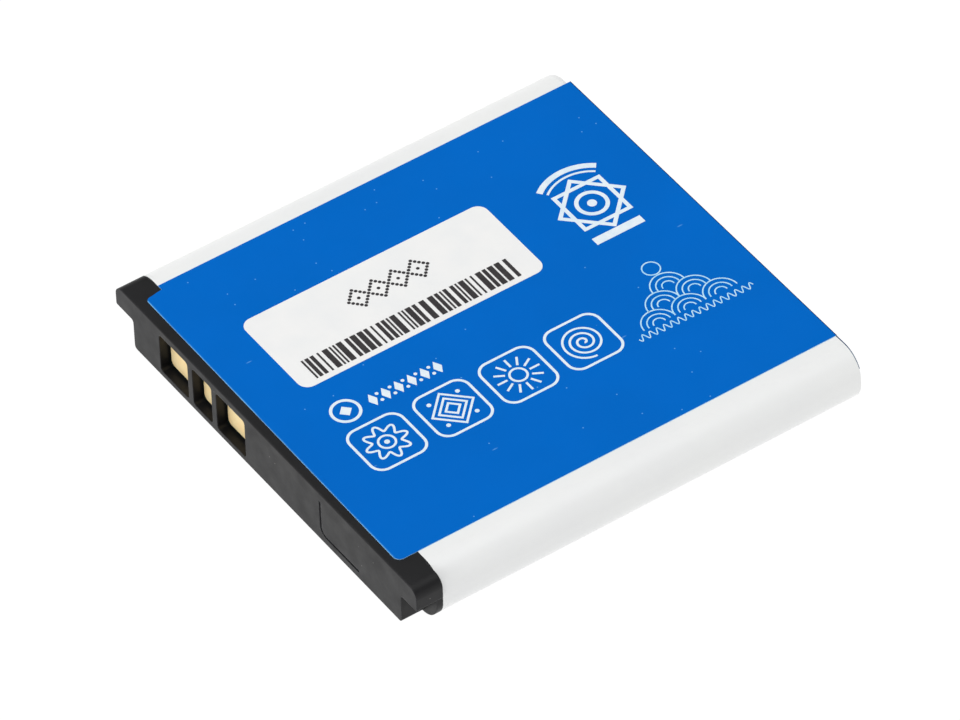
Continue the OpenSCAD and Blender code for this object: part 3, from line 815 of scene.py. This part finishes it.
@dataclass
class FilmLip:
    """The sleeve's shrunk end, which curls over the can's far rim. Lengths are in millimetres."""

    corner_r: float = 2.3
    under_sleeve: float = 0.012
    inner_face: float = 0.06
    start: float = 0.9
    rim_r: float = 0.6
    rim_inset: float = 0.73
    proud: float = 0.02
    reach: float = 0.42
    wave: float = 0.07
    wave_pace: tuple[float, float] = (0.31, 0.83)
    wave_lead: float = 1.0
    rim_steps: int = 8
    corner_steps: int = 14
    side_steps: int = 90

    def outline(self, inset: float, half: Vector) -> list[Point]:
        """Give the pack's section, drawn in by some distance.

        Args:
            inset: That distance, in millimetres.
            half: Half of the section's width and height, in millimetres.

        Returns:
            Its points, counterclockwise, about its middle.
        """
        radius = self.corner_r - inset
        x, z = half.x - self.corner_r, half.z - self.corner_r
        points = []
        for i, centre in enumerate(((x, -z), (x, z), (-x, z), (-x, -z))):
            points += arc(centre, radius, (i - 1) / 4, i / 4, self.corner_steps)
            if i % 2:
                ahead = -1 if i == 1 else 1
                points += [(-ahead * x + ahead * 2 * x * j / self.side_steps, points[-1][1])
                           for j in range(1, self.side_steps)]
        return points

    def profile(self) -> list[tuple[float, float, bool]]:
        """Give the lip's own section.

        Returns:
            Inset and place before the can's end, in millimetres, and whether the film's edge wavers there.
        """
        quarter = [math.pi / 2 * i / self.rim_steps for i in range(self.rim_steps + 1)]
        outer, inner = self.rim_inset - self.under_sleeve, self.rim_inset - self.inner_face
        rise = self.rim_r + self.proud
        over = [(self.rim_inset - outer * math.cos(a), rise * math.sin(a) - self.rim_r, False)
                for a in quarter]
        under = [(self.rim_inset - inner * math.cos(a), self.rim_r * math.sin(a) - self.rim_r, False)
                 for a in reversed(quarter)]
        edge = self.rim_inset + self.reach
        return [(self.under_sleeve, -self.start, False), *over, (edge, self.proud, True),
                (edge, 0.0, True), *under, (self.inner_face, -self.start, False)]

    def build(self, finish: bpy.types.Material) -> None:
        """Make the lip.

        Args:
            finish: The film's material.
        """
        low, high = (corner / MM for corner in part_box("film_sleeve"))
        middle, half = (low + high) / 2, (high - low) / 2
        can_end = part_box("cell_can")[1].y / MM
        work = bmesh.new()
        slow, quick = self.wave_pace
        loops = []
        for inset, y, wavers in self.profile():
            loop = []
            for i, (x, z) in enumerate(self.outline(inset, half)):
                waver = self.wave * (math.sin(slow * i) + math.sin(quick * i + self.wave_lead))
                shrink = 1 - waver / half.z if wavers else 1.0
                place = (middle.x + x, can_end + y, middle.z + z * shrink)
                loop.append(work.verts.new(tuple(v * MM for v in place)))
            loops.append(loop)
        for here, after in zip(loops, loops[1:] + loops[:1]):
            for i, corner in enumerate(here):
                j = (i + 1) % len(here)
                work.faces.new([corner, here[j], after[j], after[i]])
        bmesh.ops.recalc_face_normals(work, faces=work.faces)
        mesh = bpy.data.meshes.new("film_lip")
        work.to_mesh(mesh)
        work.free()
        mesh.materials.append(finish)
        for face in mesh.polygons:
            face.use_smooth = True
        lip = bpy.data.objects.new("film_lip", mesh)
        bpy.context.scene.collection.objects.link(lip)
        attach(lip, "root")
        log.info("film_lip: %d faces", len(mesh.polygons))


@dataclass(frozen=True)
class FrameFigures:
    """The plain figures in the four frames. Lengths are in millimetres."""

    lobes: int = 8
    lobe_radius: float = 1.58
    lobe_depth: float = 0.36
    lobe_steps: int = 128
    rosette_ring: float = 0.72
    rosette_dot: float = 0.24
    diamond_radii: tuple[float, ...] = (2.0, 1.35, 0.7)
    diamond_dots_at: float = 1.98
    diamond_dot: float = 0.2
    ray_ring: float = 0.74
    ray_count: int = 12
    ray_start: float = 1.1
    ray_end: float = 2.05
    spiral_start: float = 0.12
    spiral_growth: float = 1.83
    spiral_turns: int = 3
    spiral_steps: int = 108

    def build(self, layer: InkLayer, first: Point, pitch: float) -> None:
        """Print one figure in each frame.

        Args:
            layer: Layer to print on.
            first: Middle of the first frame, in millimetres.
            pitch: Distance from one frame to the next along Y, in millimetres.
        """
        for i, figure in enumerate((self.rosette, self.diamonds, self.rays, self.spiral)):
            figure(layer, (first[0], first[1] + i * pitch))

    def rosette(self, layer: InkLayer, at: Point) -> None:
        """Print a lobed rosette round a ring and a dot.

        Args:
            layer: Layer to print on.
            at: Its middle, in millimetres.
        """
        def lobed(share: float) -> Point:
            """Give the point of the rosette for a share of its turn."""
            angle = FULL_TURN * share
            return polar(at, self.lobe_radius + self.lobe_depth * math.cos(self.lobes * angle), angle)

        layer.stroke(curve(lobed, self.lobe_steps, closed=True), Line.PLAIN, closed=True)
        layer.ring(at, self.rosette_ring, Line.PLAIN)
        layer.disc(at, self.rosette_dot)

    def diamonds(self, layer: InkLayer, at: Point) -> None:
        """Print nested diamonds with a dot off each side.

        Args:
            layer: Layer to print on.
            at: Their middle, in millimetres.
        """
        for radius in self.diamond_radii:
            layer.stroke(regular(at, radius, SQUARE), Line.PLAIN, closed=True)
        for middle in regular(at, self.diamond_dots_at, SQUARE, EIGHTH):
            layer.disc(middle, self.diamond_dot)

    def rays(self, layer: InkLayer, at: Point) -> None:
        """Print a ring with rays.

        Args:
            layer: Layer to print on.
            at: Its middle, in millimetres.
        """
        layer.ring(at, self.ray_ring, Line.PLAIN)
        starts, ends = (regular(at, radius, self.ray_count) for radius in (self.ray_start, self.ray_end))
        for inner, outer in zip(starts, ends):
            layer.stroke([inner, outer], Line.PLAIN)

    def spiral(self, layer: InkLayer, at: Point) -> None:
        """Print a spiral.

        Args:
            layer: Layer to print on.
            at: Its middle, in millimetres.
        """
        def turning(share: float) -> Point:
            """Give the point of the spiral for a share of its length."""
            angle = self.spiral_turns * FULL_TURN * share
            return polar(at, self.spiral_start + self.spiral_growth * share, angle)

        layer.stroke(curve(turning, self.spiral_steps), Line.PLAIN)


@dataclass(frozen=True)
class SideFigures:
    """The bold figures beside the frames and at the plain bar. Lengths are in millimetres."""

    medallion_ring: float = 1.22
    medallion_core: float = 0.6
    lozenge_count: int = 6
    lozenge_pitch: float = 1.27
    lozenge_half: Point = (0.74, 0.4)
    lozenge_dots_at: float = 0.42
    lozenge_dot: float = 0.16
    star_radius: float = 3.2
    star_ring: float = 1.3
    star_dot: float = 0.42
    arcs: tuple[tuple[float, Line], ...] = ((4.5, Line.BROAD), (3.8, Line.PLAIN))
    arc_span: tuple[float, float] = (0.39, 0.61)

    def medallion(self, layer: InkLayer, at: Point) -> None:
        """Print a small ring round a filled diamond.

        Args:
            layer: Layer to print on.
            at: Its middle, in millimetres.
        """
        layer.ring(at, self.medallion_ring, Line.RIM)
        layer.fill(regular(at, self.medallion_core, SQUARE))

    def lozenges(self, layer: InkLayer, start: Point) -> None:
        """Print a row of lozenges and dots along Y.

        Args:
            layer: Layer to print on.
            start: Middle of the first lozenge, in millimetres.
        """
        half_x, half_y = self.lozenge_half
        for i in range(self.lozenge_count):
            x, y = start[0], start[1] + i * self.lozenge_pitch
            layer.fill([(x - half_x, y), (x, y - half_y), (x + half_x, y), (x, y + half_y)])
            if i:
                for side in (-1, 1):
                    middle = (x + side * self.lozenge_dots_at, y - self.lozenge_pitch / 2)
                    layer.disc(middle, self.lozenge_dot, SMALL_DOT)

    def star(self, layer: InkLayer, at: Point) -> None:
        """Print an eight-pointed star of two squares round a ring, with two arcs over it.

        Args:
            layer: Layer to print on.
            at: Its middle, in millimetres.
        """
        for turn in (0.0, EIGHTH):
            layer.stroke(regular(at, self.star_radius, SQUARE, turn), Line.BOLD, closed=True)
        layer.ring(at, self.star_ring, Line.BOLD)
        layer.disc(at, self.star_dot)
        for radius, line in self.arcs:
            layer.stroke(arc(at, radius, *self.arc_span), line)


@dataclass(frozen=True)
class FineFigures:
    """The hairline figures at the label's far end. Lengths are in millimetres."""

    scallop_rows: int = 3
    scallop_size: float = 1.55
    scallop_shares: tuple[float, ...] = (1.0, 0.68, 0.36)
    scallop_span: tuple[float, float] = (0.25, 0.75)
    top_ring_at: float = 3.6
    top_ring: float = 0.5
    wave_count: int = 16
    wave_steps: int = 16
    wave_height: float = 0.32

    def scallops(self, layer: InkLayer, base: Point) -> None:
        """Print scallops heaped up towards -X, with a ring on top.

        Args:
            layer: Layer to print on.
            base: Middle of the lowest row, in millimetres.
        """
        size = self.scallop_size
        for row in range(self.scallop_rows):
            for place in range(self.scallop_rows - row):
                middle = (base[0] - row * size, base[1] + (2 * place + 1 - self.scallop_rows + row) * size)
                for share in self.scallop_shares:
                    layer.stroke(arc(middle, size * share, *self.scallop_span), Line.FINE)
        layer.ring((base[0] - self.top_ring_at * size, base[1]), self.top_ring * size, Line.FINE)

    def wave(self, layer: InkLayer, start: Point, end: Point) -> None:
        """Print a fine wavy line.

        Args:
            layer: Layer to print on.
            start: Its start, in millimetres.
            end: Its end, in millimetres.
        """
        def waving(share: float) -> Point:
            """Give the point of the wave for a share of its length."""
            swing = self.wave_height * math.sin(FULL_TURN * self.wave_count * share)
            return start[0] + (end[0] - start[0]) * share + swing, start[1] + (end[1] - start[1]) * share

        layer.stroke(curve(waving, self.wave_steps * self.wave_count), Line.HAIR)


@dataclass(frozen=True)
class DottedChain:
    """The chain of dotted diamonds on the white field. Lengths are in millimetres."""

    links: int = 4
    steps: int = 4
    length: float = 7.8
    width: float = 2.15
    dot: float = 0.155

    def build(self, layer: InkLayer, start: Point) -> None:
        """Print the chain along Y, with a dot in each diamond.

        Args:
            layer: Layer to print on.
            start: Its front end, in millimetres.
        """
        count = 2 * self.steps * self.links
        for step in range(count + 1):
            y = start[1] + self.length * step / count
            phase = step % (2 * self.steps)
            swing = min(phase, 2 * self.steps - phase) * self.width / 2 / self.steps
            for side in (-1, 1) if swing else (1,):
                layer.disc((start[0] + side * swing, y), self.dot, SMALL_DOT)
            if phase == self.steps:
                layer.disc((start[0], y), self.dot, SMALL_DOT)


@dataclass(frozen=True)
class LabelPrint:
    """Fine print, placed in millimetres from the corners of the frames and of the white field."""

    frame_size: float = 5.45
    frame_pitch: float = 6.45
    medallion_at: Point = (-4.85, 2.0)
    lozenges_at: Point = (-4.6, 4.5)
    star_at: Point = (-3.5, -2.3)
    scallops_at: Point = (1.9, -2.9)
    wave_from: Point = (2.5, -8.5)
    wave_to: Point = (2.75, 2.75)
    chain_at: Point = (3.3, 8.6)

    def build(self, materials: dict[str, bpy.types.Material]) -> None:
        """Print every figure.

        Args:
            materials: The pack's materials by name.
        """
        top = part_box("face_label")[1].z / MM
        low, high = (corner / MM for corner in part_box("print_frames"))
        row_x = high.x - self.frame_size / 2
        figures = InkLayer("label_figures", top)
        FrameFigures().build(figures, (row_x, low.y + self.frame_size / 2), self.frame_pitch)
        side = SideFigures()
        side.medallion(figures, shifted((row_x, low.y), self.medallion_at))
        side.lozenges(figures, shifted((row_x, low.y), self.lozenges_at))
        side.star(figures, shifted((low.x, high.y), self.star_at))
        figures.piece(materials[PALE_INK.name])
        lines = InkLayer("label_fine_lines", top)
        far_end = (row_x, high.y)
        fine = FineFigures()
        fine.scallops(lines, shifted(far_end, self.scallops_at))
        fine.wave(lines, shifted(far_end, self.wave_from), shifted(far_end, self.wave_to))
        lines.piece(THIN_INK.material())
        field_low, field_high = (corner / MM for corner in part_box("print_panel"))
        dots = InkLayer("panel_dots", field_high.z)
        DottedChain().build(dots, shifted((field_low.x, field_low.y), self.chain_at))
        dots.piece(materials[DARK_INK.name])


@dataclass(frozen=True)
class Softbox:
    """A square soft light that is aimed at the pack."""

    name: str
    watts: float
    size_m: float
    place_m: tuple[float, float, float]

    def hang(self) -> None:
        """Put the light in the scene."""
        light = bpy.data.lights.new(self.name, "AREA")
        light.energy = self.watts
        light.size = self.size_m
        lamp = bpy.data.objects.new(self.name, light)
        lamp.location = self.place_m
        lamp.rotation_mode = "QUATERNION"
        lamp.rotation_quaternion = (-Vector(self.place_m)).to_track_quat("-Z", "Y")
        bpy.context.scene.collection.objects.link(lamp)


@dataclass
class Studio:
    """Plain pale floor, soft light and the camera at the photograph's angle."""

    floor_half_m: float = 3.0
    floor_segments: int = 8
    floor_gap_mm: float = 0.02
    wall_light: float = 0.9
    wall_top: float = 0.15
    roof_light: float = 0.25
    roof_edge: float = 0.5
    lamps: tuple[Softbox, ...] = (
        Softbox("key_softbox", 8.0, 1.1, (0.02, -0.12, 1.0)),
        Softbox("fill_softbox", 2.4, 0.45, (-0.12, -0.85, 0.28)),
    )
    lens_mm: float = 353.7
    sensor_mm: float = 36.0
    azimuth_deg: float = 56.653
    elevation_deg: float = 44.662
    roll_deg: float = -2.080
    distance_mm: float = 764.32
    clip_start_m: float = 0.05
    aim_mm: tuple[float, float, float] = (3.792, -3.018, 5.4)

    def build(self) -> None:
        """Make the floor, the light and the camera."""
        self.floor()
        self.light()
        self.camera()
        log.info("studio: floor, light and camera")

    def floor(self) -> None:
        """Lay the opal table under the pack."""
        mesh = bpy.data.meshes.new("studio_floor")
        work = bmesh.new()
        segments = self.floor_segments
        bmesh.ops.create_grid(work, x_segments=segments, y_segments=segments, size=self.floor_half_m)
        work.to_mesh(mesh)
        work.free()
        mesh.materials.append(OPAL_ACRYLIC.material())
        floor = bpy.data.objects.new("studio_floor", mesh)
        floor.location.z = -self.floor_gap_mm * MM
        bpy.context.scene.collection.objects.link(floor)

    def light(self) -> None:
        """Light the pack evenly, with a broad soft key from above."""
        scene = bpy.context.scene
        world = bpy.data.worlds.new("soft_tent")
        world.use_nodes = True
        tree = world.node_tree
        way = add(tree, "SeparateXYZ", {"Vector": add(tree, "TexCoord").outputs["Generated"]})
        rise = add(tree, "MapRange", {
            "Value": way.outputs["Z"], "From Min": self.wall_top, "From Max": self.roof_edge,
            "To Min": self.wall_light, "To Max": self.roof_light})
        background = tree.nodes["Background"]
        tree.links.new(rise.outputs["Result"], background.inputs["Strength"])
        background.inputs["Color"].default_value = WHITE
        scene.world = world
        for lamp in self.lamps:
            lamp.hang()
        scene.view_settings.view_transform = "Standard"

    def camera(self) -> None:
        """Set the camera where the photograph was taken from."""
        angles = (self.azimuth_deg, self.elevation_deg, self.roll_deg)
        azimuth, elevation, roll = (math.radians(angle) for angle in angles)
        back = Vector((math.sin(azimuth) * math.cos(elevation), -math.cos(azimuth) * math.cos(elevation),
                       math.sin(elevation)))
        right = Vector((math.cos(azimuth), math.sin(azimuth), 0))
        up = back.cross(right)
        right, up = (math.cos(roll) * right + math.sin(roll) * up,
                     math.cos(roll) * up - math.sin(roll) * right)
        place = (Vector(self.aim_mm) + back * self.distance_mm) * MM
        data = bpy.data.cameras.new("camera")
        data.lens = self.lens_mm
        data.sensor_width = self.sensor_mm
        data.clip_start = self.clip_start_m
        camera = bpy.data.objects.new("camera", data)
        camera.matrix_world = Matrix.Translation(place) @ Matrix((right, up, back)).transposed().to_4x4()
        bpy.context.scene.collection.objects.link(camera)
        bpy.context.scene.camera = camera


def main() -> None:
    """Dress the pack, print its label and set up the studio."""
    logging.basicConfig(level=logging.INFO, format="%(message)s")
    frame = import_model()
    Studio().build()
    pack = Pack()
    pack.dress(frame["nodes"])
    FilmLip().build(pack.materials[WHITE_FILM.name])
    LabelPrint().build(pack.materials)


if __name__ == "__main__":
    main()
